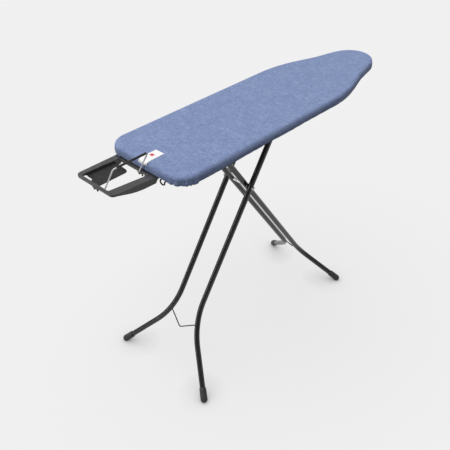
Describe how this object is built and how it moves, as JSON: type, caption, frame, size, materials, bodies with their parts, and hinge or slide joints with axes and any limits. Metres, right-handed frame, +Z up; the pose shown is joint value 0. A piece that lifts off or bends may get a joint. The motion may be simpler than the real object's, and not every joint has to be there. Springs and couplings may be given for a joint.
{
  "type": "ironing board",
  "caption": "Folding ironing board with a tapered padded top, scissor legs of bent tube and an iron rest with a folding wire bail.",
  "frame": {"origin": "middle of the bounding box on the floor, where the feet stand", "axes": "+X from the iron rest to the pointed nose of the board, +Y to the side away from the height lever, +Z up"},
  "size_m": [1.41, 0.4996, 1.0568],
  "materials": {
    "cotton_cover": "woven cotton, matte",
    "label": "plain white, matte",
    "pad": "felted foam, matte",
    "frame_steel": "grey powder coat",
    "black_tube": "black satin paint",
    "zinc_steel": "zinc plated",
    "black_plastic": "moulded, matte",
    "nylon": "natural"
  },
  "bodies": {
    "board": {"ironing_cover": "cotton_cover", "cover_label": "label", "foam_pad": "pad", "mesh_top": "frame_steel", "rim_frame": "frame_steel", "cross_brace_tail": "frame_steel", "cross_brace_middle": "frame_steel", "cross_brace_hinge": "frame_steel", "cross_brace_nose": "frame_steel", "slide_rail_near": "frame_steel", "slide_rail_far": "frame_steel", "hinge_bracket_near": "frame_steel", "hinge_bracket_far": "frame_steel", "comb_pin_tail": "zinc_steel", "comb_pin_middle": "zinc_steel", "lever_bracket": "frame_steel", "rest_frame": "black_plastic", "rest_plate": "black_plastic", "rest_clip_outer": "black_plastic", "rest_clip_inner": "black_plastic", "rest_screw_near": "zinc_steel", "rest_screw_far": "zinc_steel", "rest_spacer_near": "black_plastic", "rest_spacer_far": "black_plastic"},
    "outer_legs": {"outer_leg_near": "black_tube", "outer_leg_far": "black_tube", "outer_foot_near": "black_plastic", "outer_foot_far": "black_plastic", "outer_leg_brace": "black_tube", "hinge_axle": "zinc_steel", "hinge_cap_near": "zinc_steel", "hinge_cap_far": "zinc_steel", "scissor_axle": "zinc_steel", "axle_nut_near": "zinc_steel", "axle_nut_far": "zinc_steel"},
    "inner_legs": {"inner_leg_near": "black_tube", "inner_leg_far": "black_tube", "inner_foot_near": "black_plastic", "inner_foot_far": "black_plastic", "inner_leg_brace": "black_tube", "slider_bar": "zinc_steel", "slider_bush_near": "nylon", "slider_bush_far": "nylon", "slider_cap_near": "zinc_steel", "slider_cap_far": "zinc_steel", "axle_spacer": "zinc_steel", "axle_washer_near": "zinc_steel", "axle_washer_far": "zinc_steel"},
    "bail": {"bail_wire": "zinc_steel", "bail_sleeve": "black_plastic"},
    "lever": {"height_lever": "black_tube"},
    "latch": {"height_comb": "zinc_steel", "pull_rod": "zinc_steel"}
  },
  "joints": [
    {"name": "outer_leg_fold", "type": "hinge", "parent": "board", "child": "outer_legs", "pos_m": [0.068, 0, 0.95], "axis": [0, 1, 0], "range_deg": [0, 53]},
    {"name": "inner_leg_fold", "type": "hinge", "parent": "outer_legs", "child": "inner_legs", "pos_m": [-0.0866, 0, 0.709], "axis": [0, 1, 0], "range_deg": [-104.01, 0]},
    {"name": "bail_swing", "type": "hinge", "parent": "board", "child": "bail", "pos_m": [-0.62, 0.0115, 0.961], "axis": [-1, 0, 0], "range_deg": [0, 115]},
    {"name": "lever_squeeze", "type": "hinge", "parent": "board", "child": "lever", "pos_m": [-0.465, -0.074, 0.952], "axis": [0, 1, 0], "range_deg": [0, 9], "stiffness_Nm_per_rad": 0.6, "springref_deg": -28.65},
    {"name": "latch_slide", "type": "slide", "parent": "board", "child": "latch", "axis": [1, 0, 0], "range_m": [0, 0.0048]}
  ],
  "couplings": [
    {"joint": "inner_leg_fold", "follows": "outer_leg_fold", "ratio": -1.953},
    {"joint": "latch_slide", "follows": "lever_squeeze", "m_per_rad": 0.03}
  ]
}
